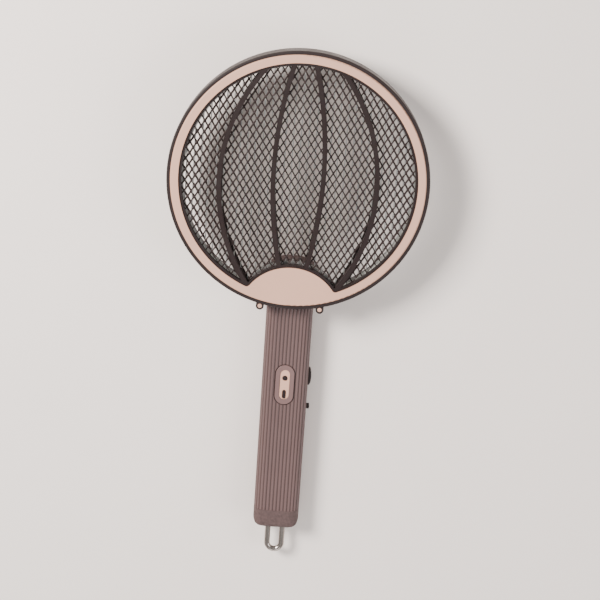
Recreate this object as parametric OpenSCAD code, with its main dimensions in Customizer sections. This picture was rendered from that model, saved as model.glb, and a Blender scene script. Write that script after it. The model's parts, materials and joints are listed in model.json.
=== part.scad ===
// Folding electric fly swatter: a round mesh head that swings in its own plane
// on a hollow axle at the top of a reeded handle. Lengths are in millimetres.
// It lies on its back: +Z is the front, +Y is the head end, +X is the trigger side.

/* [Head] */
// Outside diameter of the hoop
head_d = 210; // [200:1:220]
// Width of the hoop from its outer edge to the mesh opening
hoop_w = 9.5; // [9:0.5:12]
// Thickness of the head
head_t = 20; // [20:1:24]
// How far the pale front half is set in from the dark rear half
front_set_in = 2.9; // [2.4:0.1:3.2]
// Radius of the shield's curved top edge
shield_r = 42; // [38:1:46]
// Distance from the hoop's centre down to the shield's own centre
shield_drop = 112; // [108:1:116]
// Wall thickness of the mouldings in the head
head_wall = 1.8; // [1.4:0.1:2.2]
// Width of a guard rib
rib_w = 3.8; // [3:0.2:5]
// Long diagonal of a mesh diamond
diamond_h = 8.9; // [7:0.1:12]
// Short diagonal of a mesh diamond
diamond_w = 5.5; // [4.5:0.1:8]
// Width of a mesh strand
strand_w = 1.0; // [0.8:0.1:1.4]
// Spacing of the live bars between the two meshes
bar_pitch = 6; // [5:0.5:10]

/* [Pivot] */
// Distance from the hoop's centre down to the folding axis
pivot_drop = 87; // [85:1:89]
// Outside diameter of the hollow axle
axle_d = 12; // [10:0.5:13]
// Radial clearance of the head on the axle
axle_clear = 0.05; // [0.03:0.01:0.1]
// Gap between the handle's front and the head's back
fold_gap = 0.8; // [0.7:0.1:1.5]
// Height of the stand feet's lowest line below the folding axis
foot_drop = 20.4; // [19.5:0.1:21]

/* [Handle] */
// Width of the handle
handle_w = 39; // [38:0.5:42]
// Thickness of the handle, front to back
handle_t = 26; // [26:0.5:30]
// Distance from the folding axis to the handle's end
handle_l = 223.5; // [220:0.5:240]
// Length of the smooth end cap
cap_l = 17; // [16:1:20]
// Corner radius of the handle's cross-section
handle_r = 9; // [8:0.5:10]
// Wall thickness of the handle shells
handle_wall = 2.4; // [2:0.1:2.8]
// Number of reeds on each side of the centre line
reeds = 16; // [12:1:20]
// Depth of the grooves between the reeds
reed_depth = 0.8; // [0.4:0.05:0.9]

/* [Controls] */
// Distance from the folding axis to the middle of the button panel
panel_y = 91; // [88:1:94]
// Length of the button panel
panel_l = 34.8; // [33:0.2:38]
// Width of the button panel
panel_w = 15.6; // [15:0.2:17]
// Distance from the folding axis to the middle of the side trigger
trigger_y = 86; // [84:1:88]
// Length of the side trigger
trigger_l = 16; // [14:1:18]
// Distance from the folding axis to the lamp slide's off position
slide_y = 113; // [112:1:115]
// How far the side controls stand proud
side_proud = 2.5; // [1.5:0.1:3]

/* [Hanging loop] */
// Outside width of the loop
loop_w = 17.2; // [16:0.2:20]
// Diameter of the loop's rod
loop_d = 4.8; // [4:0.2:5]
// How far the loop stands out of the end cap when pulled out
loop_out = 27.5; // [25:0.5:30]
// How far the loop slides in
loop_travel = 18; // [10:1:18]

/* [Hidden] */
$fn = 64;

// Heights
z_head = handle_t + fold_gap;       // back of the head
z_front = z_head + head_t;          // front of the head
z_mid = z_head + head_t / 2;        // where the two hoop halves meet
z_axis = handle_t / 2;              // middle of the handle's thickness

// Hoop
hoop_r = head_d / 2;
face_r = hoop_r - front_set_in;
open_r = hoop_r - hoop_w;
rebate = 1.5;                       // how far the mesh stack reaches under the lips
lip_t = 1.2;                        // thickness of the lips
fillet_r = 3;
edge_r = 2.2;                       // rounding of the head's back edge
face_edge_r = 1.2;                  // rounding of the front half's edge
rim_edge_r = 0.9;                   // rounding of the dark rim's edge
rim_low = 0.6;                      // how far the dark rim stops short of the front
rim_gap = 0.15;                     // shadow gap between the rim and the front half
screw_in = 4.6;                     // from the opening to the screws round the hoop
foot_r = 3.25;
plug_r = 1.75;                      // pale plug in the middle of each foot
foot_x = 24.4;

// Mesh stack, from the back
z_rg = z_head + lip_t;              // rear guard
z_rm = z_rg + 3.5;                  // rear mesh
z_rs = z_rm + 1.2;                  // rear spacer ring
z_lg = z_mid - 0.6;                 // live grid
z_fs = z_mid + 0.6;                 // front spacer ring
z_fm = z_front - lip_t - 4.7;       // front mesh
z_fg = z_front - lip_t - 3.5;       // front guard
rim_in = 2.2;                       // how far a mesh rim shows inside the opening
mesh_angle = atan(diamond_h / diamond_w);
mesh_pitch = diamond_w * sin(mesh_angle);
rear_shift = -2;                    // the rear mesh's pattern, along Y from the front's

// Pivot
axle_r = axle_d / 2;
axle_hole = 3.2;
bush_r = 9.2;
turn_face_r = 14.6;                 // plain round face that the head turns on
turn_face_up = 0.05;                // how far that face stands above the reeds
z_flange = handle_t - handle_wall - 2.2;
z_bush = z_head + 7;
ball_y = 12.5;
ball_r = 1.5;

// Handle, as distances from the folding axis towards the loop
body_l = handle_l - cap_l;
half_w = handle_w / 2;
top_y = 10.6;                       // inside of the top wall
top_r = shield_r - 1.5;             // the top end follows the shield's edge
cav_w = handle_w - 2 * handle_wall;
cav_t = handle_t - 2 * handle_wall;
cav_r = handle_r - handle_wall;
boss_r = 3;
cap_bulge_r = 48;                   // curve of the end cap's far edge
handle_screw_at = [for (y = [-32, -150, -195]) for (x = [-12.6, 12.6]) [x, y]];

// Loop and socket
loop_leg_x = (loop_w - loop_d) / 2;
leg_top = 7.2 - handle_l;           // inner ends of the loop's legs when it is pulled out
port_z = 6.7;

// Panel
plate_w = 8.2;
plate_l = 26.2;
groove_w = 0.9;                     // shadow groove round the bezel
groove_t = 1.3;
dot_y = -85.2;
bar_y = -99.6;

// Whole model: the middle of its length and width is the origin
loop_end = handle_l + loop_out;
head_end = pivot_drop + hoop_r;
shift_y = (loop_end - head_end) / 2;

// Electronics
z_board = 17.2;
board_y = [-37, -119];
cell_l = 65;
cell_room = 6.3;                    // from the cell to the legs when the loop is pushed in
cell_y = leg_top + loop_travel + cell_room + cell_l;
cell_r = 9.15;

// ---------- shared shapes ----------

// Places a shape in the folding axis's frame
module on_pivot(z = 0) {
    translate([0, shift_y, z]) children();
}

// Places a shape in the hoop's frame
module on_hoop(z = 0) {
    translate([0, shift_y + pivot_drop, z]) children();
}

// A slab cut from a flat outline in the hoop's frame
module hoop_slab(z, h) {
    on_hoop(z) linear_extrude(height = h) children();
}

// Flat outline with two round ends, its long side along Y
module obround(w, l) {
    square([w, l - w], center = true);
    translate([0, l / 2 - w / 2]) circle(d = w);
    translate([0, w / 2 - l / 2]) circle(d = w);
}

// A bar along Y whose cross-section is a rounded rectangle
module round_bar(w, t, r, y_from, length) {
    translate([0, y_from, z_axis]) rotate([90, 0, 0]) linear_extrude(height = length) {
        square([w - 2 * r, t], center = true);
        square([w, t - 2 * r], center = true);
        for (sx = [-1, 1]) for (sz = [-1, 1])
            translate([sx * (w / 2 - r), sz * (t / 2 - r)]) circle(r = r);
    }
}

// The mesh opening: a disc with the shield's arc cut out; g grows it
module opening(g = 0) {
    difference() {
        circle(r = open_r + g, $fn = 180);
        translate([0, -shield_drop]) circle(r = shield_r - g, $fn = 120);
    }
}

// Centre of a round of radius f that touches the opening's two arcs
function corner_at(g, f) = let (
        a = open_r + g - f,
        b = shield_r - g + f,
        y = (b * b - a * a - shield_drop * shield_drop) / (2 * shield_drop)
    ) [sqrt(a * a - y * y), y];

// Fills the opening's two sharp corners to a round
module corner_fill(g = 0, f = fillet_r) {
    c = corner_at(g, f);
    k = corner_at(g, 0);
    s = [0, -shield_drop];
    t1 = c * (open_r + g) / (open_r + g - f);
    t2 = s + (c - s) * (shield_r - g) / (shield_r - g + f);
    out = k + (k - c) / norm(k - c) * 1.4;
    for (m = [0, 1]) mirror([m, 0]) difference() {
        polygon([t1, out, t2]);
        translate(c) circle(r = f);
    }
}

// Flat outline of the hoop and shield
module hoop_outline(r) {
    difference() {
        circle(r = r, $fn = 180);
        opening(0);
    }
    corner_fill(0);
}

// A frame that follows the edge of the opening
module rim_outline(inner) {
    difference() {
        opening(rebate - 0.1);
        opening(-inner);
    }
}

head_screw_at = concat(
    [for (a = [-135 : 45 : 135]) (open_r + screw_in) * [sin(a), cos(a)]],
    [for (s = [-1, 1]) [24 * s, -2 - pivot_drop]]
);

// The hollow inside both hoop halves
module hoop_hollow() {
    difference() {
        circle(r = face_r - head_wall, $fn = 180);
        opening(rebate + head_wall - 0.2);
        for (a = [-135 : 45 : 135]) rotate(-a)
            translate([0, open_r + screw_in]) square([6.4, 12], center = true);
        for (s = [-1, 1]) translate([24 * s, -2 - pivot_drop]) circle(r = 3.6);
    }
}

// Takes the corner off the hoop's outer edge
module edge_cut(r, e) {
    rotate_extrude($fn = 180) difference() {
        translate([r - e, -1]) square([e + 1, e + 1]);
        translate([r - e, e]) circle(r = e);
    }
}

// Arc of a circle through three points
function centre3(a, b, c) = let (
        d = 2 * (a.x * (b.y - c.y) + b.x * (c.y - a.y) + c.x * (a.y - b.y)),
        u = a * a, v = b * b, w = c * c
    ) [(u * (b.y - c.y) + v * (c.y - a.y) + w * (a.y - b.y)) / d,
       (u * (c.x - b.x) + v * (a.x - c.x) + w * (b.x - a.x)) / d];

// One pair of curved ribs, given where the right-hand one passes, as parts of the diameter
module rib_pair(top, middle, bottom) {
    c = centre3(top * head_d, middle * head_d, bottom * head_d);
    r = norm(c - middle * head_d);
    for (m = [0, 1]) mirror([m, 0]) intersection() {
        opening(-1);
        translate(c) difference() {
            circle(r = r + rib_w / 2, $fn = 180);
            circle(r = r - rib_w / 2, $fn = 180);
        }
        translate([0, -hoop_r]) square([hoop_r, head_d]);
    }
}

module guard_outline() {
    rim_outline(rim_in);
    corner_fill(-rim_in, 2);
    rib_pair([0.04, 0.45], [0.095, 0], [0.055, -0.32]);
    rib_pair([0.15, 0.42], [0.30, 0], [0.175, -0.41]);
}

// A guard: a deep rim with thin ribs across its outer face
module guard(z, rib_z) {
    hoop_slab(z, 3.5) rim_outline(rim_in);
    hoop_slab(rib_z, 2.2) guard_outline();
}

// One layer of parallel strands across the opening, each cut short of the rim;
// shift moves the pattern along Y
module strands(slope, z, t, shift) {
    r = open_r - rim_in - 0.1;
    q = shield_r + rim_in + 0.1;
    u = [cos(slope), sin(slope)];
    n = [-sin(slope), cos(slope)];
    for (i = [-floor(r / mesh_pitch) : floor(r / mesh_pitch)]) {
        d = i * mesh_pitch + shift * cos(slope);
        e = abs(d) + strand_w / 2;
        h = e < r ? sqrt(r * r - e * e) : 0;
        // where the strand's line passes the shield's centre
        along = -shield_drop * u.y;
        across = abs(-shield_drop * n.y - d);
        f = max(across - strand_w / 2, 0);
        reach = f < q ? along + sqrt(q * q - f * f) : -h;
        from = max(-h, reach);
        if (h - from > 4)
            on_hoop(z) rotate(slope) translate([from, d - strand_w / 2, 0])
                cube([h - from, strand_w, t]);
    }
}

// Diamond mesh: a rim with two crossed layers of strands
module mesh_disc(z, shift = 0) {
    hoop_slab(z, 1.2) rim_outline(rim_in);
    strands(mesh_angle, z + 0.03, 0.55, shift);
    strands(180 - mesh_angle, z + 0.62, 0.55, shift);
}

// ---------- head ----------

module head_front_shell() {
    color("ivory") difference() {
        hoop_slab(z_mid, head_t / 2) hoop_outline(face_r);
        hoop_slab(z_mid - 1, head_t / 2 + 1 - lip_t) opening(rebate);
        hoop_slab(z_mid - 1, head_t / 2 + 1 - head_wall) hoop_hollow();
        on_hoop(z_front) mirror([0, 0, 1]) edge_cut(face_r, face_edge_r);
        for (p = head_screw_at) on_hoop(z_mid - 1) translate(p) cylinder(r = 1.23, h = 7);
        lens_window();
    }
}

module head_rear_shell() {
    color("dimgray") difference() {
        union() {
            difference() {
                hoop_slab(z_head, head_t / 2) hoop_outline(hoop_r);
                hoop_slab(z_head + lip_t, head_t) opening(rebate);
                hoop_slab(z_head + head_wall, head_t) hoop_hollow();
            }
            hoop_slab(z_mid - 0.5, head_t / 2 + 0.5 - rim_low) difference() {
                circle(r = hoop_r, $fn = 180);
                circle(r = face_r + rim_gap, $fn = 180);
            }
            on_pivot(z_head + 1) cylinder(r = bush_r, h = z_bush - z_head - 1);
            on_pivot(z_head + 1) translate([0, -ball_y, 0]) cylinder(r = 2.9, h = 5);
        }
        on_hoop(z_head) edge_cut(hoop_r, edge_r);
        on_hoop(z_front - rim_low) mirror([0, 0, 1]) edge_cut(hoop_r, rim_edge_r);
        on_pivot(z_head - 1) cylinder(r = axle_r + axle_clear, h = 10);
        on_pivot(z_head - 1) translate([0, -ball_y, 0]) cylinder(r = ball_r + 0.1, h = 5.4);
        for (p = head_screw_at) on_hoop(z_head - 1) translate(p) {
            cylinder(r = 1.5, h = 12);
            cylinder(r = 2.4, h = 3);
        }
        lens_window();
    }
}

// The slot in the shield's wall that the lamp shines through
module lens_window() {
    on_pivot(z_mid - 3.3) translate([-15, shield_r - shield_drop + pivot_drop - 7.4, 0])
        cube([30, 6.4, 6.6]);
}

module front_guard() {
    color([0.12, 0.12, 0.13]) guard(z_fg, z_fg + 1.3);
}

module rear_guard() {
    color([0.12, 0.12, 0.13]) guard(z_rg, z_rg);
}

module front_mesh() {
    color([0.33, 0.33, 0.34]) mesh_disc(z_fm);
}

module rear_mesh() {
    color([0.33, 0.33, 0.34]) mesh_disc(z_rm, rear_shift);
}

module live_grid() {
    color("silver") hoop_slab(z_lg, 1.2) {
        rim_outline(3.4);
        intersection() {
            opening(-2);
            for (i = [-15 : 15]) translate([i * bar_pitch, 0])
                square([0.9, head_d], center = true);
        }
    }
}

// The spacers follow the round part of the rim and leave the shield's arc clear for the lamp
module spacer_outline() {
    difference() {
        circle(r = open_r + rebate - 0.1, $fn = 180);
        circle(r = open_r - 1.6, $fn = 180);
        translate([-40, -head_d]) square([80, head_d - 60]);
    }
}

module spacer_rings() {
    color("whitesmoke") {
        hoop_slab(z_rs, z_lg - z_rs) spacer_outline();
        hoop_slab(z_fs, z_fm - z_fs) spacer_outline();
    }
}

module lamp_lens() {
    color([0.8, 0.85, 0.95]) hoop_slab(z_mid - 3.2, 6.4) intersection() {
        translate([0, -shield_drop]) difference() {
            circle(r = shield_r - rebate - 0.15);
            circle(r = shield_r - rebate - 1.5);
        }
        translate([-14.8, shield_r - shield_drop - 8]) square([29.6, 8]);
    }
}

lamp_y = shield_r - shield_drop + pivot_drop - 6.3;

module uv_led_board() {
    color("white") on_pivot(z_mid - 3.6) translate([-11.5, lamp_y, 0])
        cube([23, 1.2, 7.2]);
}

module uv_leds() {
    color([0.75, 0.7, 0.95]) for (x = [-7, 0, 7])
        on_pivot(z_mid) translate([x, lamp_y + 1.2, 0]) rotate([-90, 0, 0]) {
            translate([-1.75, -1.4, 0]) cube([3.5, 2.8, 0.7]);
            cylinder(r1 = 1.2, r2 = 0.8, h = 1);
        }
}

module head_screws() {
    color("silver") for (p = head_screw_at) on_hoop(0) translate(p) difference() {
        union() {
            translate([0, 0, z_head + 0.5]) cylinder(r = 2.2, h = 1.45);
            translate([0, 0, z_head + 1]) cylinder(r = 1.2, h = 13);
        }
        for (a = [0, 90]) rotate(a)
            translate([-1.3, -0.3, z_head - 0.5]) cube([2.6, 0.6, 1.8]);
    }
}

module at_feet(z) {
    for (s = [-1, 1]) on_pivot(z) translate([s * foot_x, foot_r - foot_drop, 0]) children();
}

// Rubber sleeves against the hoop's edge
module stand_feet() {
    color([0.12, 0.1, 0.1]) difference() {
        at_feet(z_head + 1.6) cylinder(r = foot_r, h = head_t - 3.2);
        at_feet(z_head) cylinder(r = plug_r + 0.02, h = head_t);
        on_hoop(z_head) cylinder(r = hoop_r + 0.01, h = head_t, $fn = 180);
    }
}

// Pale pins that hold the sleeves
module foot_plugs() {
    color("ivory") at_feet(z_head + 1.4) cylinder(r = plug_r, h = head_t - 2.8);
}

module detent_ball() {
    color("silver") on_pivot(z_head - 0.7 + ball_r) translate([0, -ball_y, 0])
        sphere(r = ball_r);
}

module detent_spring() {
    color("silver") on_pivot(z_head + 2.5) translate([0, -ball_y, 0]) difference() {
        cylinder(r = 1.3, h = 1.7);
        translate([0, 0, -1]) cylinder(r = 0.9, h = 4);
    }
}

// Tabs that carry current to the two meshes and the live grid, inside the shield
tab_at = [[-14, z_rs], [14, z_fm - 0.7], [-15, z_mid]];

module contact_tabs() {
    color("goldenrod") for (t = tab_at)
        on_pivot(t[1]) translate([t[0] - 2, -4 - t[0] / 8, 0]) cube([4, 4, 0.5]);
}

module wire(a, b, r = 0.8) {
    d = b - a;
    l = norm(d);
    translate(a) rotate([0, acos(d.z / l), atan2(d.y, d.x)]) cylinder(r = r, h = l);
}

module head_wires() {
    on_pivot(z_front - 4) {
        color("firebrick") wire([3, -3, 0], [14, -3, 0]);
        color("black") wire([-3, 0, 0], [-14, 0, 0]);
        color("white") wire([0, 3.5, 0], [0, 9.5, 0], 0.6);
    }
}

// ---------- handle ----------

// Point and outward direction on the cross-section, s along it from the front's middle
side_flat = handle_t - 2 * handle_r;
arc_l = PI / 2 * handle_r;
top_l = half_w - handle_r;
function around(s) =
    s <= top_l ? [s, handle_t, 0, 1] :
    s <= top_l + arc_l ? let (t = (s - top_l) / handle_r * 180 / PI)
        [top_l + handle_r * sin(t), handle_t - handle_r + handle_r * cos(t), sin(t), cos(t)] :
    s <= top_l + arc_l + side_flat ?
        [half_w, handle_t - handle_r - (s - top_l - arc_l), 1, 0] :
    s <= top_l + 2 * arc_l + side_flat ?
        let (t = (s - top_l - arc_l - side_flat) / handle_r * 180 / PI)
        [half_w - handle_r + handle_r * cos(t), handle_r - handle_r * sin(t), cos(t), -sin(t)] :
    [top_l - (s - top_l - 2 * arc_l - side_flat), 0, 0, -1];

foot_strip = 17;                    // width of the plain strip it lies on
reeded_l = 2 * top_l + 2 * arc_l + side_flat - foot_strip / 2;
reed_steps = 6;
reed_points = reeds * reed_steps;
// Each reed is a bulge between two sharp grooves; the last one runs out into the plain strip
half_section = [for (i = [0 : reed_points]) let (
        p = around(i * reeded_l / reed_points),
        c = i == reed_points ? 0 : reed_depth * (1 - sin(180 * (i % reed_steps) / reed_steps))
    ) [p[0] - c * p[2], p[1] - c * p[3]]];

module reeded_bar(y_from, length) {
    n = len(half_section);
    translate([0, y_from, 0]) rotate([90, 0, 0]) linear_extrude(height = length)
        polygon(concat(half_section,
            [for (i = [n - 1 : -1 : 1]) [-half_section[i].x, half_section[i].y]]));
}

// Outside of both handle shells together
module handle_outside() {
    on_pivot() intersection() {
        union() {
            reeded_bar(20, body_l + 20);
            translate([0, 0, z_axis]) cylinder(r = turn_face_r, h = z_axis + turn_face_up);
        }
        translate([0, 0, -1]) linear_extrude(height = handle_t + 2) union() {
            translate([0, -body_l / 2 - 5]) square([handle_w + 4, body_l + 10], center = true);
            translate([0, pivot_drop - shield_drop]) circle(r = top_r, $fn = 120);
        }
    }
}

module handle_hollow() {
    on_pivot() round_bar(cav_w, cav_t, cav_r, top_y, body_l + top_y + 5);
}

// Everything that passes through the handle's right side
module side_cutouts() {
    on_pivot(z_axis) {
        translate([half_w - 6, -trigger_y, 0]) rotate([0, 90, 0])
            linear_extrude(height = 10) obround(7.6, trigger_l + 0.6);
        translate([half_w - 6, -slide_y + 2, 0]) rotate([0, 90, 0])
            linear_extrude(height = 10) obround(4.6, 9.6);
    }
}

module handle_front_shell() {
    color([0.46, 0.38, 0.36]) difference() {
        union() {
            difference() {
                handle_outside();
                handle_hollow();
            }
            for (p = handle_screw_at) on_pivot(z_axis - 1) translate(p)
                cylinder(r = boss_r, h = z_axis - handle_wall + 0.2);
        }
        on_pivot(z_axis - 20) translate([-40, -handle_l, 0]) cube([80, handle_l + 40, 20]);
        on_pivot(handle_t - 5) cylinder(r = axle_r + 0.03, h = 8);
        on_pivot(handle_t + 1.3) for (p = [[0, -1], [-1, 0], [0, 1]])
            translate(p * ball_y) sphere(r = 1.75);
        on_pivot(handle_t - 1.6) translate([0, -panel_y, 0]) linear_extrude(height = 3)
            obround(panel_w + 0.1, panel_l + 0.1);
        on_pivot(handle_t - groove_t) translate([0, -panel_y, 0]) linear_extrude(height = 3)
            obround(panel_w + 2 * groove_w, panel_l + 2 * groove_w);
        on_pivot(handle_t - 5) translate([0, -panel_y, 0]) linear_extrude(height = 8)
            obround(panel_w - 3, panel_l - 3);
        for (p = handle_screw_at) on_pivot(z_axis - 1) translate(p) cylinder(r = 1.33, h = 9);
        side_cutouts();
    }
}

module handle_rear_shell() {
    color([0.42, 0.35, 0.33]) difference() {
        union() {
            difference() {
                handle_outside();
                handle_hollow();
            }
            for (p = handle_screw_at) on_pivot(handle_wall - 0.5) translate(p)
                cylinder(r = boss_r, h = z_axis);
            on_pivot(1.2) cylinder(r = 10.9, h = 2.4);
        }
        on_pivot(z_axis) translate([-40, -handle_l, 0]) cube([80, handle_l + 40, 20]);
        on_pivot(-1) cylinder(r = 9.15, h = 3.3);
        on_pivot(-1) cylinder(r = 7.8, h = 6);
        for (p = handle_screw_at) on_pivot(-1) translate(p) {
            cylinder(r = 1.6, h = z_axis + 2);
            cylinder(r = 2.55, h = 4.2);
        }
        side_cutouts();
    }
}

// Flat outline from y = 0 down to -l, with two round far corners
module round_end(w, l, r) {
    translate([-w / 2, r - l]) square([w, l - r]);
    translate([r - w / 2, -l]) square([w - 2 * r, l]);
    for (s = [-1, 1]) translate([s * (w / 2 - r), r - l]) circle(r = r);
}

module end_cap() {
    color([0.40, 0.33, 0.31]) on_pivot() difference() {
        union() {
            intersection() {
                round_bar(handle_w, handle_t, handle_r, -body_l, cap_l);
                translate([0, 2 - body_l, -1]) linear_extrude(height = handle_t + 2)
                    round_end(handle_w, cap_l + 2, 9);
                translate([0, cap_bulge_r - handle_l, -1])
                    cylinder(r = cap_bulge_r, h = handle_t + 2, $fn = 180);
                translate([handle_w, 2 - body_l, z_axis]) rotate([0, -90, 0])
                    linear_extrude(height = 2 * handle_w)
                    round_end(handle_t, cap_l + 2, 5);
            }
            round_bar(cav_w - 0.2, cav_t - 0.2, cav_r - 0.1, 5.5 - body_l, 6);
        }
        round_bar(cav_w - 3.6, cav_t - 3, cav_r - 1.4, 10 - body_l, cap_l + 5);
        for (s = [-1, 1]) translate([s * loop_leg_x, -body_l, z_axis])
            rotate([90, 0, 0]) cylinder(r = loop_d / 2 + 0.05, h = cap_l + 2);
        translate([0, -body_l, port_z]) rotate([90, 0, 0])
            linear_extrude(height = cap_l + 2) rotate(90) obround(3.4, 9.2);
    }
}

module panel_bezel() {
    color([0.2, 0.17, 0.16]) on_pivot(handle_t - 1.58) translate([0, -panel_y, 0])
        linear_extrude(height = 1.78) difference() {
            obround(panel_w, panel_l);
            obround(plate_w + 0.2, plate_l + 0.2);
        }
}

module panel_plate() {
    color("gainsboro") on_pivot() difference() {
        union() {
            translate([0, -panel_y, handle_t - 3.1]) linear_extrude(height = 1.5)
                obround(panel_w - 3.2, panel_l - 3.2);
            translate([0, -panel_y, handle_t - 2]) linear_extrude(height = 1.6)
                obround(plate_w, plate_l);
        }
        translate([0, dot_y, handle_t - 5]) cylinder(r = 2.2, h = 6);
        translate([0, bar_y, handle_t - 5]) linear_extrude(height = 6) obround(3, 7.8);
    }
}

module mode_button() {
    color([0.25, 0.25, 0.26]) on_pivot() translate([0, dot_y, 0]) {
        translate([0, 0, handle_t - 4.6]) cylinder(r = 2.9, h = 1.1);
        translate([0, 0, handle_t - 4.6]) cylinder(r = 1.9, h = 4.95);
    }
}

module power_button() {
    color([0.25, 0.25, 0.26]) on_pivot() translate([0, bar_y, 0]) {
        translate([0, 0, handle_t - 4.6]) linear_extrude(height = 1.1) obround(4.4, 9.2);
        translate([0, 0, handle_t - 4.6]) linear_extrude(height = 4.95) obround(2.4, 7.2);
    }
}

// A side control: a stem through the wall with a flange inside and a crowned outer face,
// which drops by crown at its two ends
module side_key(y, w, l, flange_w, flange_l, crown) {
    crown_r = (l * l / 4 + crown * crown) / (2 * crown);
    on_pivot(z_axis) translate([0, -y, 0]) intersection() {
        rotate([0, 90, 0]) {
            translate([0, 0, half_w - 4.5]) linear_extrude(height = 1.7)
                obround(flange_w, flange_l);
            translate([0, 0, half_w - 4.5]) linear_extrude(height = 6 + side_proud)
                obround(w, l);
        }
        translate([half_w + side_proud - crown_r, 0, -w]) cylinder(r = crown_r, h = 2 * w, $fn = 180);
    }
}

module trigger_button() {
    color([0.16, 0.14, 0.14]) side_key(trigger_y, 7, trigger_l, 8.6, trigger_l + 1.6, 1.7);
}

module lamp_slide() {
    color([0.16, 0.14, 0.14]) {
        side_key(slide_y, 4, 5, 7, 9, 0.6);
        on_pivot(z_axis) translate([half_w - 6.6, -slide_y, 0]) rotate([0, 90, 0])
            cylinder(r = 0.8, h = 3);
    }
}

module hanging_loop() {
    out_y = -handle_l - loop_out + loop_w / 2;
    color("silver") on_pivot(z_axis) {
        for (s = [-1, 1]) translate([s * loop_leg_x, 0, 0]) {
            translate([0, leg_top, 0]) rotate([90, 0, 0])
                cylinder(d = loop_d, h = leg_top - out_y);
            translate([0, leg_top, 0]) rotate([90, 0, 0]) cylinder(r = 3.1, h = 2);
        }
        translate([0, out_y, 0]) rotate([0, 0, 180]) rotate_extrude(angle = 180)
            translate([loop_leg_x, 0]) circle(d = loop_d);
    }
}

module pivot_axle() {
    color("silver") on_pivot() difference() {
        union() {
            translate([0, 0, z_flange]) cylinder(r = 9.8, h = 2.18);
            translate([0, 0, z_flange]) cylinder(r = axle_r, h = z_bush + 5.8 - z_flange);
        }
        translate([0, 0, z_flange - 1]) cylinder(r = axle_hole, h = 30);
    }
}

module spring_washer() {
    color("gray") on_pivot(z_bush + 0.1) difference() {
        cylinder(r = bush_r - 0.2, h = 1);
        translate([0, 0, -1]) cylinder(r = axle_r + 0.15, h = 3);
    }
}

module pivot_nut() {
    color("silver") on_pivot(z_bush + 1.15) difference() {
        cylinder(r = 9.8, h = 3.6, $fn = 6);
        translate([0, 0, -1]) cylinder(r = axle_r + 0.03, h = 6);
    }
}

module pivot_cap() {
    color([0.3, 0.26, 0.25]) on_pivot(0.3) difference() {
        cylinder(r = 9, h = 1.98);
        for (s = [-1, 1]) translate([s * 4.5 - 0.8, -2, -1]) cube([1.6, 4, 1.7]);
    }
}

module main_board() {
    color("seagreen") on_pivot(z_board) difference() {
        translate([-13, board_y[1], 0]) cube([26, board_y[0] - board_y[1], 1.6]);
        for (y = [board_y[0] - 4, board_y[1] + 4]) translate([-9, y, -1])
            cylinder(r = 1.2, h = 4);
    }
}

module hv_transformer() {
    color([0.25, 0.25, 0.28]) on_pivot(z_board - 13.2) translate([0, -46, 0]) {
        translate([-8, -8, 0]) cube([16, 3.5, 13]);
        translate([-8, 4.5, 0]) cube([16, 3.5, 13]);
        translate([-8, -5, 4.5]) cube([16, 10, 4]);
    }
}

module hv_capacitors() {
    color([0.7, 0.3, 0.15]) for (y = [-66, -75]) on_pivot(z_board - 11.2)
        translate([-11, y, 0]) cube([13, 6, 11]);
}

module button_switches() {
    color([0.15, 0.15, 0.15]) for (y = [dot_y, bar_y]) on_pivot(z_board + 1.62)
        translate([0, y, 0]) {
            translate([-3, -3, 0]) cube([6, 6, 1.2]);
            cylinder(r = 1.5, h = 1.78);
        }
}

module trigger_switch() {
    color([0.15, 0.15, 0.15]) on_pivot(z_axis) translate([0, -trigger_y, 0]) {
        translate([6.5, -3.5, -1.8]) cube([5.4, 7, z_board - z_axis + 1.7]);
        translate([11, 0, 0]) rotate([0, 90, 0]) cylinder(r = 1, h = half_w - 5.8 - 11.3);
    }
}

module slide_switch() {
    color("lightgray") on_pivot(z_axis) translate([7, 2.5 - slide_y - 5.5, -1.8])
        cube([5, 11, z_board - z_axis + 1.7]);
}

module battery_cell() {
    color([0.2, 0.45, 0.6]) on_pivot(z_axis) translate([0, cell_y, 0]) rotate([90, 0, 0]) {
        translate([0, 0, 0.9]) cylinder(r = cell_r, h = cell_l - 0.9);
        cylinder(r = 3.2, h = 2);
    }
}

module battery_contacts() {
    color("silver") on_pivot(z_axis) {
        translate([-5, cell_y + 0.05, -7]) cube([10, 0.6, 14]);
        translate([-5, cell_y - cell_l - 3.6, -7]) cube([10, 0.6, 14]);
        translate([0, cell_y - cell_l - 0.1, 0]) rotate([90, 0, 0]) difference() {
            cylinder(r = 4, h = 2.85);
            translate([0, 0, -1]) cylinder(r = 3, h = 5);
        }
    }
}

module handle_wires() {
    on_pivot() {
        color("firebrick") {
            wire([1.3, 0, z_board], [1.3, 0, z_bush + 6], 0.7);
            wire([1.3, board_y[0] + 0.2, z_board + 0.8], [1.3, -1, z_board + 0.8], 0.7);
            wire([8.6, board_y[1] - 0.5, 5.2], [8.6, 0.8 - body_l, 5.2], 0.7);
        }
        color("black") {
            wire([-1.3, 0, z_board], [-1.3, 0, z_bush + 6], 0.7);
            wire([-1.3, board_y[0] + 0.2, z_board + 0.8], [-1.3, -1, z_board + 0.8], 0.7);
            wire([-8.6, board_y[1] - 0.5, 5.2], [-8.6, 0.8 - body_l, 5.2], 0.7);
        }
    }
}

module charge_board() {
    color("seagreen") on_pivot(4) translate([-7, -handle_l + 5.2, 0])
        cube([14, 11, 1]);
}

module charging_port() {
    color("silver") on_pivot(port_z) translate([0, 7.9 - handle_l, 0]) rotate([90, 0, 0]) {
        linear_extrude(height = 0.5) rotate(90) obround(3.2, 9);
        linear_extrude(height = 7.7) rotate(90) difference() {
            obround(3.2, 9);
            obround(2.6, 8.4);
        }
        translate([-3.3, -0.35, 0]) cube([6.6, 0.7, 5.5]);
    }
}

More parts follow.
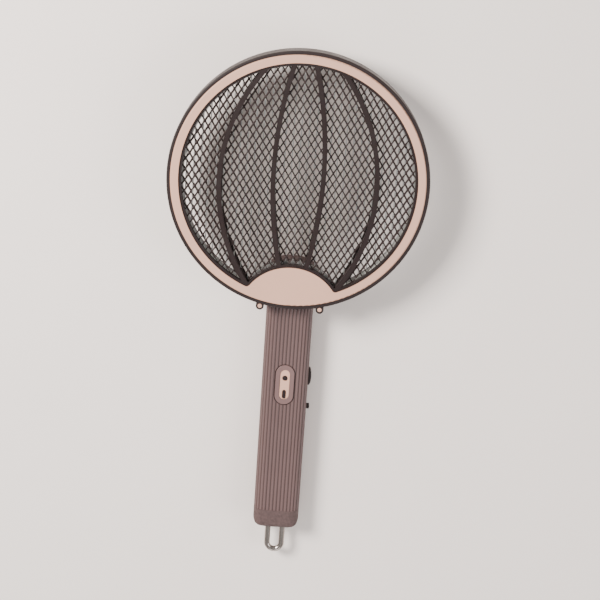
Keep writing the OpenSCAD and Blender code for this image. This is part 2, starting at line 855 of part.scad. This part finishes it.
module handle_screws() {
    color("silver") for (p = handle_screw_at) on_pivot() translate(p) difference() {
        union() {
            translate([0, 0, 1.4]) cylinder(r = 2.4, h = 1.7);
            translate([0, 0, 2]) cylinder(r = 1.3, h = z_axis + 4);
        }
        for (a = [0, 90]) rotate(a) translate([-1.4, -0.35, 0.5]) cube([2.8, 0.7, 1.8]);
    }
}

head_front_shell();
head_rear_shell();
front_guard();
rear_guard();
front_mesh();
rear_mesh();
live_grid();
spacer_rings();
lamp_lens();
uv_led_board();
uv_leds();
head_screws();
stand_feet();
foot_plugs();
detent_ball();
detent_spring();
contact_tabs();
head_wires();
handle_front_shell();
handle_rear_shell();
end_cap();
panel_bezel();
panel_plate();
main_board();
hv_transformer();
hv_capacitors();
button_switches();
trigger_switch();
slide_switch();
battery_cell();
battery_contacts();
handle_wires();
charge_board();
charging_port();
handle_screws();
pivot_axle();
spring_washer();
pivot_nut();
pivot_cap();
hanging_loop();
mode_button();
power_button();
trigger_button();
lamp_slide();
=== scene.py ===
import json
import math

import bpy
from mathutils import Matrix, Vector


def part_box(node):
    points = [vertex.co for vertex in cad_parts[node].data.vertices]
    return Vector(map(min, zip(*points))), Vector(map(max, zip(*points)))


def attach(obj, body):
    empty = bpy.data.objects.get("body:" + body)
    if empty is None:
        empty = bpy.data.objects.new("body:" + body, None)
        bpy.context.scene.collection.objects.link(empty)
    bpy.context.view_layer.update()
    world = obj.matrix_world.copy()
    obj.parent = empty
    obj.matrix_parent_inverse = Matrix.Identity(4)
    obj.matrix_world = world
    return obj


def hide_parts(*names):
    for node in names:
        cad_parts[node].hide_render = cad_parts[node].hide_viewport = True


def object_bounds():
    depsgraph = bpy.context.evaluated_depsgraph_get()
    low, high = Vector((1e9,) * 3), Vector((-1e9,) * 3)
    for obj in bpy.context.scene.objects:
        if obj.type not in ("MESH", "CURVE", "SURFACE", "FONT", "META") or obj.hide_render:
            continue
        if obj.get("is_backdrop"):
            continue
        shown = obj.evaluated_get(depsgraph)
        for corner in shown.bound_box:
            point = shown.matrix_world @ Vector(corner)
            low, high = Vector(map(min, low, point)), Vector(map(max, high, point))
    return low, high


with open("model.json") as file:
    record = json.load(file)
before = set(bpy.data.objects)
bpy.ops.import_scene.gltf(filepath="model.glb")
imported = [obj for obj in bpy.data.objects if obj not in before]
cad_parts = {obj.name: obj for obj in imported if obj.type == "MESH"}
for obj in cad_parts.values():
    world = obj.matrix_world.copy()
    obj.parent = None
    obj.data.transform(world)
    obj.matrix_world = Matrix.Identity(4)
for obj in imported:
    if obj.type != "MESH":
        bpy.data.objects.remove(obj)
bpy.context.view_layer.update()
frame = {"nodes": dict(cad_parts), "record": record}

nodes = frame["nodes"]
MM = 0.001

# The hoop, read from the frame
hoop_low, hoop_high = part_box("head_rear_shell")
HOOP_R = (hoop_high.x - hoop_low.x) / 2
HOOP = Vector(((hoop_low.x + hoop_high.x) / 2, hoop_high.y - HOOP_R, 0))

# The opening that the meshes fill: a circle, less the shield at its bottom
OPEN_R = HOOP_R - 9.5 * MM          # radius of the circle
SHIELD_R = 42 * MM                  # radius of the shield's curved edge
SHIELD_DROP = 112 * MM              # the centre of that edge, below the hoop's


# ---------------------------------------------------------------- material parts

SPECULAR = 0.32                     # dull mouldings and coatings, less shiny than the default
BUMP_STRENGTH = 0.35                # of the grain on mouldings
MARK_STRENGTH = 0.3                 # of the marks on metal
CLOSENESS_RAYS = 6


def material(name, color, rough, metallic=0.0):
    """A principled material; uniform values sit on the shader's own sockets."""
    mat = bpy.data.materials.new(name)
    mat.use_nodes = True
    tree = mat.node_tree
    bsdf = tree.nodes["Principled BSDF"]
    bsdf.inputs["Base Color"].default_value = (*color, 1)
    bsdf.inputs["Roughness"].default_value = rough
    bsdf.inputs["Metallic"].default_value = metallic
    bsdf.inputs["Specular IOR Level"].default_value = SPECULAR
    return mat, tree, bsdf


def coords(tree, scale=(1, 1, 1)):
    """The piece's own coordinates, scaled along each axis."""
    where = tree.nodes.new("ShaderNodeTexCoord")
    mapping = tree.nodes.new("ShaderNodeMapping")
    mapping.inputs["Scale"].default_value = scale
    tree.links.new(where.outputs["Object"], mapping.inputs["Vector"])
    return mapping.outputs["Vector"]


def noise(tree, vector, scale, detail=3.0, roughness=0.55):
    """Soft noise from 0 to 1."""
    node = tree.nodes.new("ShaderNodeTexNoise")
    node.inputs["Scale"].default_value = scale
    node.inputs["Detail"].default_value = detail
    node.inputs["Roughness"].default_value = roughness
    tree.links.new(vector, node.inputs["Vector"])
    return node.outputs["Fac"]


def ramp(tree, value, low, high, start=0.3, end=0.7):
    """Turns a value into a shade between two colours or two greys."""
    node = tree.nodes.new("ShaderNodeValToRGB")
    node.color_ramp.elements[0].position = start
    node.color_ramp.elements[1].position = end
    for element, c in zip(node.color_ramp.elements, (low, high)):
        element.color = (*c, 1) if isinstance(c, tuple) else (c, c, c, 1)
    tree.links.new(value, node.inputs["Fac"])
    return node.outputs["Color"]


def blend_in(tree, kind, a, b, amount=1.0):
    """Blends colour b into colour a, in the way that kind names."""
    node = tree.nodes.new("ShaderNodeMix")
    node.data_type = "RGBA"
    node.blend_type = kind
    node.inputs["Factor"].default_value = amount
    tree.links.new(a, node.inputs["A"])
    tree.links.new(b, node.inputs["B"])
    return node.outputs["Result"]


def bump(tree, bsdf, height, distance, strength):
    """Fine relief: the height stands out by up to the distance."""
    node = tree.nodes.new("ShaderNodeBump")
    node.inputs["Strength"].default_value = strength
    node.inputs["Distance"].default_value = distance
    tree.links.new(height, node.inputs["Height"])
    tree.links.new(node.outputs["Normal"], bsdf.inputs["Normal"])


def closeness(tree, reach, inside):
    """1 on open, flat surface; less in a recess or, looking inside, along an outer edge."""
    node = tree.nodes.new("ShaderNodeAmbientOcclusion")
    node.samples = CLOSENESS_RAYS
    node.inside = inside
    node.only_local = True
    node.inputs["Distance"].default_value = reach
    return node.outputs["AO"]


def tint(color, k):
    """A colour made k times as light."""
    return tuple(min(1.0, v * k) for v in color)


# ---------------------------------------------------------------- materials

EDGE_REACH = 0.5 * MM               # how wide a rubbed edge is
SMUDGE_SCALE = 60                   # of the patches that are a little glossier
TARNISH_SCALE = 45                  # of the broad change of tone on metal


def moulded(name, color, rough=0.45, grain=1400, depth=0.2, mottling=0.05, painted_shade=0.35,
            rubbed=0.12, reach=1.6, clear=0.95, patches=22):
    """Moulded plastic: spark-eroded grain, faint flow mottling, painted shade in recesses, rubbed
    edges.

    depth and reach are in mm. grain and patches are noise scales. clear is how open a place
    has to be to stay free of painted shade.
    """
    mat, tree, bsdf = material(name, color, rough)
    at = coords(tree)
    tone = ramp(tree, noise(tree, at, patches, 4), tint(color, 1 - mottling),
                tint(color, 1 + mottling))
    # Painted shade: the colour is darkened wherever the surface is hemmed in, as in grooves and
    # corners
    recess = ramp(tree, closeness(tree, reach * MM, False), 1 - painted_shade, 1.0, clear - 0.5, clear)
    tone = blend_in(tree, "MULTIPLY", tone, recess)
    edge = ramp(tree, closeness(tree, EDGE_REACH, True), rubbed, 0.0, 0.45, 0.8)
    tone = blend_in(tree, "ADD", tone, blend_in(tree, "MULTIPLY", tone, edge))
    tree.links.new(tone, bsdf.inputs["Base Color"])
    smudge = noise(tree, at, SMUDGE_SCALE, 5)
    tree.links.new(ramp(tree, smudge, rough - 0.06, rough + 0.07), bsdf.inputs["Roughness"])
    bump(tree, bsdf, noise(tree, at, grain, 2, 0.6), depth * MM, BUMP_STRENGTH)
    return mat


def metal(name, color, rough=0.3, stretch=(1, 1, 1), scale=900, depth=0.1, worn=0.08,
          metallic=1.0):
    """Metal with drawing or turning marks, which stretch makes longer along an axis."""
    mat, tree, bsdf = material(name, color, rough, metallic)
    lines = noise(tree, coords(tree, stretch), scale, 3, 0.6)
    broad = noise(tree, coords(tree), TARNISH_SCALE, 4)
    tree.links.new(ramp(tree, broad, tint(color, 1 - worn), tint(color, 1 + worn)),
                   bsdf.inputs["Base Color"])
    tree.links.new(ramp(tree, lines, rough - 0.08, rough + 0.1), bsdf.inputs["Roughness"])
    bump(tree, bsdf, lines, depth * MM, MARK_STRENGTH)
    return mat


# The three main tones: pale, middle and dark
CREAM = (0.6, 0.345, 0.25)
TAUPE = (0.126, 0.076, 0.072)
INK = (0.018, 0.010, 0.0095)

# Every moulding paints shade into its recesses; the reeded handle most of all
looks = {
    "ivory_shell": moulded("cream moulding", CREAM, rough=0.42, grain=1500, depth=0.12,
        mottling=0.025, painted_shade=0.3, rubbed=0.06),
    "dark_shell": moulded("dark brown moulding", INK, rough=0.48, grain=1200, depth=0.3,
        mottling=0.08, painted_shade=0.3, rubbed=0.35),
    # The handle's reed grooves get deep painted shade, which draws dark lines between the reeds
    "handle_shell": moulded("reeded taupe moulding", TAUPE, rough=0.47, grain=1300, depth=0.22,
        mottling=0.06, painted_shade=0.88, rubbed=0.2, reach=2.0, clear=0.98),
    "end_cap": moulded("stippled end moulding", tint(TAUPE, 0.66), rough=0.62, grain=420, depth=3,
        mottling=0.2, painted_shade=0.3, patches=420),
    "guard": moulded("guard moulding", tint(INK, 0.9), rough=0.4, grain=1300, depth=0.2,
        mottling=0.08, painted_shade=0.3, rubbed=0.3),
    "spacer": moulded("natural nylon", (0.7, 0.69, 0.64), rough=0.5),
    "lamp_board": moulded("white solder mask", (0.72, 0.74, 0.74), rough=0.35, grain=500,
        depth=0.04),
    "board": moulded("green solder mask", (0.02, 0.13, 0.06), rough=0.3, grain=300, depth=0.06,
        mottling=0.12),
    "component": moulded("component housing", (0.03, 0.03, 0.032), rough=0.5),
    "capacitor": moulded("dipped film", (0.32, 0.08, 0.03), rough=0.25, grain=500, depth=0.1),
    "cell": moulded("shrink sleeve", (0.03, 0.12, 0.22), rough=0.3, grain=120, depth=0.1),
    "wire": moulded("wire insulation", (0.3, 0.02, 0.02), rough=0.4, grain=700, depth=0.1),
    "bezel": moulded("bezel moulding", tint(TAUPE, 1.3), rough=0.34, grain=1500, depth=0.1,
        mottling=0.05, painted_shade=0.4, rubbed=0.2),
    "panel_plate": moulded("pale panel moulding", tint(CREAM, 1.06), rough=0.4, grain=1500,
        depth=0.1, mottling=0.02, painted_shade=0.3),
    "button": moulded("key moulding", INK, rough=0.42, grain=1400, depth=0.2, mottling=0.08,
        painted_shade=0.3, rubbed=0.4),
    "side_control": moulded("side key moulding", tint(INK, 1.3), rough=0.5, grain=900, depth=0.5,
        mottling=0.08, painted_shade=0.3, rubbed=0.4),
    "foot": moulded("soft rubber", tint(INK, 0.9), rough=0.7, grain=900, depth=0.5, mottling=0.06,
        painted_shade=0.3, rubbed=0.2),
    "lens": moulded("diffuser", (0.66, 0.68, 0.86), rough=0.22, grain=300, depth=0.04,
        mottling=0.02),
    "led": moulded("clear resin", (0.8, 0.78, 0.92), rough=0.12, grain=300, depth=0.02,
        mottling=0.02),
    "mesh": metal("coated mesh", (0.045, 0.030, 0.028), rough=0.5, scale=1500, depth=0.2,
        worn=0.15, metallic=0.5),
    "live_grid": metal("drawn bar", (0.6, 0.58, 0.56), rough=0.4, stretch=(1, 0.05, 1),
        scale=1500, depth=0.15),
    "screw": metal("zinc plate", (0.62, 0.61, 0.58), rough=0.32, scale=900, depth=0.2, worn=0.1),
    "axle": metal("turned steel", (0.56, 0.56, 0.57), rough=0.28, stretch=(1, 1, 8), scale=600,
        depth=0.15),
    "loop": metal("bright rod", (0.34, 0.295, 0.27), rough=0.24, stretch=(1, 0.06, 1), scale=900,
        depth=0.06, worn=0.04),
    "contact": metal("brass sheet", (0.72, 0.52, 0.22), rough=0.3),
}

slot_of = {s["node"]: s["material_slot"] for s in frame["record"]["subparts"]}


def dress(obj, slot_name):
    """Gives a piece the one material of its slot."""
    obj.data.materials.clear()
    obj.data.materials.append(looks[slot_name])


# ---------------------------------------------------------------- carried-over CAD nodes

# How far sharp edges are rounded, in mm: on the parts inside, and on each node that shows
INNER_EDGE = 0.12
EDGES = {
    "head_front_shell": 0.35, "head_rear_shell": 0.35, "front_guard": 0.5, "rear_guard": 0.5,
    "end_cap": 0.35, "panel_bezel": 0.3, "panel_plate": 0.3, "mode_button": 0.35,
    "power_button": 0.35, "trigger_button": 0.7, "lamp_slide": 0.5, "pivot_cap": 0.3,
    "stand_feet": 0.4, "foot_plugs": 0.35, "handle_screws": 0.15, "head_screws": 0.15,
    "handle_front_shell": 0.12, "handle_rear_shell": 0.12, "charging_port": 0.1,
}
LEFT_SHARP = ("front_mesh", "rear_mesh", "live_grid", "hanging_loop")
SAME_POINT = 0.004 * MM             # points nearer than this are joined
SAME_FACE = math.radians(0.3)       # faces that differ by less than this are joined
SHARP = math.radians(32)            # edges that turn by more than this are rounded


def soften(obj, width):
    """Rounds a moulding's sharp edges, as every real edge is."""
    weld = obj.modifiers.new("weld", "WELD")
    weld.merge_threshold = SAME_POINT
    flat = obj.modifiers.new("flat faces", "DECIMATE")
    flat.decimate_type = "DISSOLVE"
    flat.angle_limit = SAME_FACE
    edge = obj.modifiers.new("edges", "BEVEL")
    edge.limit_method = "ANGLE"
    edge.angle_limit = SHARP
    edge.width = width * MM
    edge.segments = 3
    obj.modifiers.new("normals", "WEIGHTED_NORMAL")


for name, obj in nodes.items():
    dress(obj, slot_of[name])
    if name in LEFT_SHARP:
        continue
    # The normals that came with the mesh would override those of the rounded edges
    if "custom_normal" in obj.data.attributes:
        obj.data.attributes.remove(obj.data.attributes["custom_normal"])
    obj.data.polygons.foreach_set("use_smooth", [True] * len(obj.data.polygons))
    soften(obj, EDGES.get(name, INNER_EDGE))


# ---------------------------------------------------------------- pieces made here

def finish_piece(name, verts, faces, body, slot_name, cad):
    """Makes a smooth mesh piece that rides on a body and stands for a CAD node."""
    mesh = bpy.data.meshes.new(name)
    mesh.from_pydata(verts, [], faces)
    mesh.update()
    mesh.polygons.foreach_set("use_smooth", [True] * len(mesh.polygons))
    piece = bpy.data.objects.new(name, mesh)
    bpy.context.scene.collection.objects.link(piece)
    dress(piece, slot_name)
    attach(piece, body)
    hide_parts(cad)


# The two meshes: expanded sheets of diamond holes, each in a flat rim

DIAMOND_W = 5.5 * MM                # short diagonal
DIAMOND_H = 8.9 * MM                # long diagonal
STRAND = 1.0 * MM                   # strand width
MESH_T = 0.8 * MM                   # strand thickness
RIM_IN = 2.2 * MM                   # how far the rim shows inside the opening
RIM_UNDER = 1.35 * MM               # how far it runs under the hoop's lips
HOLE_INSET = 0.7 * MM               # how far inside the opening a hole's centre has to lie
PER_METRE = 2e6                     # steps in a metre, to tell whether two points are the same


def inside_opening(x, y, grow):
    """Is a point, measured from the hoop's centre, in the opening grown by that much?"""
    return (math.hypot(x, y) < OPEN_R + grow
            and math.hypot(x, y + SHIELD_DROP) > SHIELD_R - grow)


def between(a, b, share):
    """The point that lies a share of the way from a to b."""
    return (a[0] + (b[0] - a[0]) * share, a[1] + (b[1] - a[1]) * share)


def diamond_mesh(cad, shift):
    """One connected sheet of rounded strands round diamond holes; shift moves it along Y."""
    low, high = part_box(cad)
    z = (low.z + high.z) / 2
    hx, hy = DIAMOND_W / 2, DIAMOND_H / 2
    to_side = hx * hy / math.hypot(hx, hy)      # from a diamond's centre to its side
    shrink = 1 - (STRAND / 2) / to_side
    verts, faces, index = [], [], {}

    def vert(x, y, dz):
        key = (round(x * PER_METRE), round(y * PER_METRE), round(dz * PER_METRE))
        if key not in index:
            index[key] = len(verts)
            verts.append((HOOP.x + x, HOOP.y + y, z + dz))
        return index[key]

    corners = [(hx, 0), (0, hy), (-hx, 0), (0, -hy)]
    near, pull = 0.16, 0.93         # how a hole's corners are rounded
    outer, inner = [], []
    for k, c in enumerate(corners):
        before, after = corners[k - 1], corners[(k + 1) % 4]
        for other, share in ((before, near), (c, 0), (after, near)):
            p = between(c, other, share)
            s = shrink * (pull if share == 0 else 1)
            outer.append(p)
            inner.append((p[0] * s, p[1] * s))
    reach_x, reach_y = int(OPEN_R / hx) + 2, int(OPEN_R / hy) + 2
    for m in range(-reach_x, reach_x + 1):
        for n in range(-reach_y, reach_y + 1):
            cx, cy = m * hx, n * hy + shift
            if (m + n) % 2 == 0 or not inside_opening(cx, cy, -HOLE_INSET):
                continue
            for side in (1, -1):
                top = [vert(cx + x, cy + y, side * MESH_T / 2) for x, y in outer]
                hole = [vert(cx + x, cy + y, 0) for x, y in inner]
                for k in range(len(outer)):
                    quad = (top[k - 1], top[k], hole[k], hole[k - 1])
                    faces.append(quad if side > 0 else quad[::-1])
    return verts, faces, low, high


def rim_points(grow):
    """Points round the opening's edge, grown by that much."""
    r, q = OPEN_R + grow, SHIELD_R - grow
    # The corner where the circle meets the shield's edge, and its angle from either centre
    y = (q * q - r * r - SHIELD_DROP ** 2) / (2 * SHIELD_DROP)
    x = math.sqrt(r * r - y * y)
    a = math.atan2(y, x)
    b = math.atan2(y + SHIELD_DROP, x)
    long, short = 220, 60           # points along the circle and along the shield
    around = [a + (math.pi - 2 * a) * i / long for i in range(long)]
    back = [(math.pi - b) + (2 * b - math.pi) * i / short for i in range(short)]
    return ([(r * math.cos(t), r * math.sin(t)) for t in around]
            + [(q * math.cos(t), q * math.sin(t) - SHIELD_DROP) for t in back])


def add_rim(verts, faces, low, high):
    """Adds the flat rim that the strands end under."""
    inner, outer = rim_points(-RIM_IN), rim_points(RIM_UNDER)
    n = len(inner)
    base = len(verts)
    for ring, z in ((outer, low.z), (inner, low.z), (inner, high.z), (outer, high.z)):
        verts += [(HOOP.x + x, HOOP.y + y, z) for x, y in ring]
    for k in range(4):
        a, b = base + k * n, base + (k + 1) % 4 * n
        for i in range(n):
            j = (i + 1) % n
            faces.append((a + i, a + j, b + j, b + i))


REAR_SHIFT = -2 * MM                # the rear pattern sits this much lower than the front's
for cad, shift in (("front_mesh", 0), ("rear_mesh", REAR_SHIFT)):
    verts, faces, low, high = diamond_mesh(cad, shift)
    add_rim(verts, faces, low, high)
    finish_piece(cad + "_sheet", verts, faces, "head", "mesh", cad)


# The hanging loop: one rod bent to a U, with a stop on each leg inside the cap

def tube(points, radii, sides=28):
    """A round rod swept along points at one height, with closed ends."""
    verts, faces = [], []
    upright = Vector((0, 0, 1))
    for i, (p, radius) in enumerate(zip(points, radii)):
        ahead = points[min(i + 1, len(points) - 1)] - points[max(i - 1, 0)]
        aside = ahead.normalized().cross(upright).normalized()
        for k in range(sides):
            t = 2 * math.pi * k / sides
            point = p + upright * (radius * math.cos(t)) + aside * (radius * math.sin(t))
            verts.append(tuple(point))
    for i in range(len(points) - 1):
        for k in range(sides):
            j = (k + 1) % sides
            a, b = i * sides, (i + 1) * sides
            faces.append((a + k, a + j, b + j, b + k))
    faces.append(tuple(range(sides))[::-1])
    last = (len(points) - 1) * sides
    faces.append(tuple(last + k for k in range(sides)))
    return verts, faces


ROD_R = 2.4 * MM
LEG_X = 6.2 * MM                    # from the middle to a leg's centre line
STOP_R = 3.1 * MM                   # radius of the stop on a leg's end
STOP_L = 2.0 * MM                   # its length
STOP_END = 0.85 * STOP_R            # radius of its eased end
EASING = 0.3 * MM                   # length of that end
SLOPE = 0.2 * MM                    # length of the step down to the rod
SUPPORT = 0.3 * MM                  # a ring this far below the step keeps the shading clean
MID_LEG = 9 * MM                    # a ring along the leg
BEFORE_BEND = 2 * MM                # the leg's last ring, above the bend
loop_low, loop_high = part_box("hanging_loop")
bend_y = loop_low.y + ROD_R + LEG_X
loop_z = (loop_low.z + loop_high.z) / 2
top_y = loop_high.y

# One leg from its end to the bend: each row is a distance down from the top and a radius
LEG = ((0, STOP_END), (EASING, STOP_R), (STOP_L - SLOPE, STOP_R), (STOP_L, ROD_R),
       (STOP_L + SUPPORT, ROD_R), (MID_LEG, ROD_R), (top_y - bend_y - BEFORE_BEND, ROD_R))
BEND_STEPS = 36
bend = [Vector((LEG_X * math.cos(t), bend_y - LEG_X * math.sin(t), loop_z))
        for t in (math.pi * i / BEND_STEPS for i in range(BEND_STEPS + 1))]
path = [Vector((LEG_X, top_y - d, loop_z)) for d, r in LEG] + bend
path += [Vector((-LEG_X, top_y - d, loop_z)) for d, r in reversed(LEG)]
radii = [r for d, r in LEG] + [ROD_R] * len(bend) + [r for d, r in reversed(LEG)]
verts, faces = tube(path, radii)
finish_piece("bent_loop", verts, faces, "loop", "loop", "hanging_loop")


# ---------------------------------------------------------------- stage, lights and camera

FLOOR_COLOR = (0.92, 0.82, 0.765)
FLOOR_HALF = 6.0                    # half the side of the square floor


def floor():
    """A plain pale floor, with a faint change of tone."""
    mat, tree, bsdf = material("pale floor", FLOOR_COLOR, 0.8)
    tone = ramp(tree, noise(tree, coords(tree), 6, 3), tint(FLOOR_COLOR, 0.985),
                tint(FLOOR_COLOR, 1.01))
    tree.links.new(tone, bsdf.inputs["Base Color"])
    mesh = bpy.data.meshes.new("floor")
    signs = ((-1, -1), (1, -1), (1, 1), (-1, 1))
    mesh.from_pydata([(x * FLOOR_HALF, y * FLOOR_HALF, 0) for x, y in signs], [], [(0, 1, 2, 3)])
    obj = bpy.data.objects.new("floor", mesh)
    bpy.context.scene.collection.objects.link(obj)
    obj.data.materials.append(mat)
    obj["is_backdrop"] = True


def lamp(name, place, size, power, color=(1, 1, 1)):
    """A rectangular softbox that faces the origin."""
    data = bpy.data.lights.new(name, "AREA")
    data.shape = "RECTANGLE"
    data.size, data.size_y = size
    data.energy = power
    data.color = color
    obj = bpy.data.objects.new(name, data)
    obj.location = place
    obj.rotation_mode = "QUATERNION"
    obj.rotation_quaternion = Vector(place).to_track_quat("Z", "Y")
    bpy.context.scene.collection.objects.link(obj)


floor()
lamp("key", place=(-0.92, 0.62, 1.1), size=(0.5, 0.5), power=52, color=(1, 0.98, 0.95))
lamp("fill", place=(1.2, -0.2, 0.9), size=(0.8, 0.8), power=11, color=(0.97, 0.98, 1))
lamp("rim", place=(0.1, -1.2, 0.7), size=(0.8, 0.4), power=5)

SKY_COLOR = (0.98, 0.98, 0.97)
SKY_STRENGTH = 0.58
world = bpy.data.worlds.new("studio")
bpy.context.scene.world = world
world.use_nodes = True
sky = world.node_tree.nodes["Background"]
sky.inputs["Color"].default_value = (*SKY_COLOR, 1)
sky.inputs["Strength"].default_value = SKY_STRENGTH

# The camera stands over the head's end and looks down, with the head at the picture's top
TILT = math.radians(17)             # from straight above, towards the head's end
LEAN = math.radians(4)              # turn of the picture
DISTANCE = 1.3                      # from the point it looks at
LENS = 94                           # focal length, in the camera's own mm
AIM = Vector((0.008, 0.012, 0.02))
camera = bpy.data.cameras.new("camera")
camera.lens = LENS
eye = bpy.data.objects.new("camera", camera)
bpy.context.scene.collection.objects.link(eye)
bpy.context.scene.camera = eye
back = Vector((0, math.sin(TILT), math.cos(TILT)))
right = Vector((1, 0, 0))
up = back.cross(right)
turn = Matrix((right, up, back)).transposed().to_4x4() @ Matrix.Rotation(LEAN, 4, "Z")
eye.matrix_world = Matrix.Translation(AIM + back * DISTANCE) @ turn

low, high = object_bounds()
